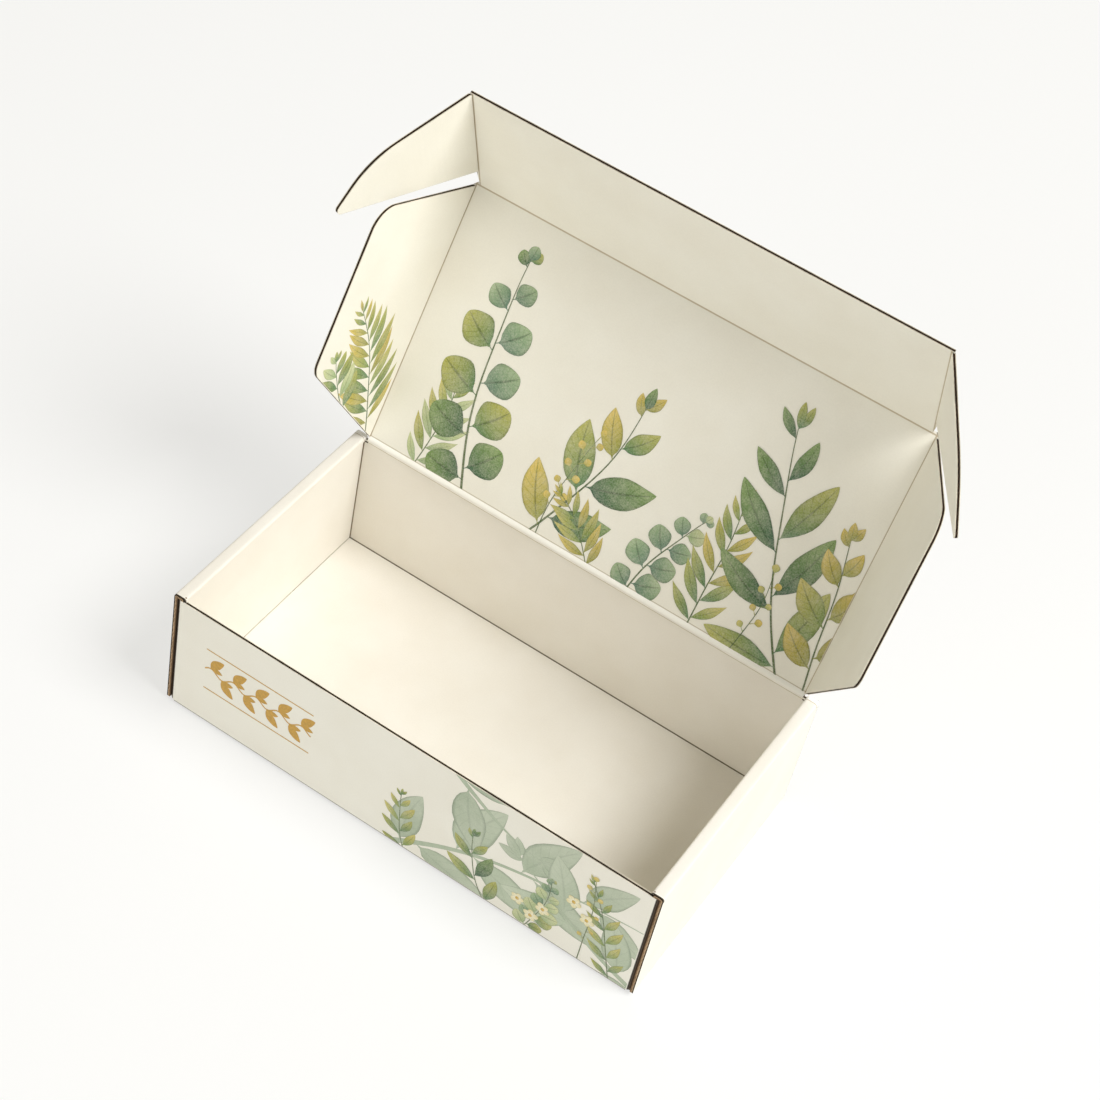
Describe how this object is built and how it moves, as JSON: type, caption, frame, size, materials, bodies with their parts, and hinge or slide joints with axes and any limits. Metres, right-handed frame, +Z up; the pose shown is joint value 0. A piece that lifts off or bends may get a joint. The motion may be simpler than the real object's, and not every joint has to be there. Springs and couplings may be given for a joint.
{
  "type": "mailer box",
  "caption": "Open corrugated mailer box: a shallow tray with rolled double side walls, and a lid hinged at the back with side flaps, a tuck flap and curved tuck ears",
  "frame": {"origin": "the middle of the underside of the tray, on the surface that the box stands on", "axes": "+X runs along the front towards the right, +Y from the front to the hinge at the back, +Z up"},
  "size_m": [0.3055, 0.204, 0.259],
  "materials": {
    "lined_board": "matte off-white lined corrugated board with a soft sheen and dark raw cut edges"
  },
  "bodies": {
    "tray": {"tray": "lined_board"},
    "lid": {"lid_panel": "lined_board"},
    "left_flap": {"lid_side_flap_left": "lined_board"},
    "right_flap": {"lid_side_flap_right": "lined_board"},
    "tuck": {"tuck_flap": "lined_board"},
    "left_ear": {"tuck_ear_left": "lined_board"},
    "right_ear": {"tuck_ear_right": "lined_board"}
  },
  "joints": [
    {"name": "lid_hinge", "type": "hinge", "parent": "tray", "child": "lid", "pos_m": [0, 0.0692, 0.0732], "axis": [-1, 0, 0], "range_deg": [-55, 62]},
    {"name": "left_flap_fold", "type": "hinge", "parent": "lid", "child": "left_flap", "pos_m": [-0.1228, 0.0692, 0.0732], "axis": [0, 0.4695, 0.8829], "range_deg": [-83, 7]},
    {"name": "right_flap_fold", "type": "hinge", "parent": "lid", "child": "right_flap", "pos_m": [0.1228, 0.0692, 0.0732], "axis": [0, -0.4695, -0.8829], "range_deg": [-66, 24]},
    {"name": "tuck_fold", "type": "hinge", "parent": "lid", "child": "tuck", "pos_m": [0, 0.13319, 0.19355], "axis": [1, 0, 0], "range_deg": [-47, 4]},
    {"name": "left_ear_fold", "type": "hinge", "parent": "tuck", "child": "left_ear", "pos_m": [-0.1208, 0.13319, 0.19355], "axis": [0, -0.3256, 0.9455], "range_deg": [-74, 21]},
    {"name": "right_ear_fold", "type": "hinge", "parent": "tuck", "child": "right_ear", "pos_m": [0.1208, 0.13319, 0.19355], "axis": [0, 0.3256, -0.9455], "range_deg": [-58, 37]}
  ]
}
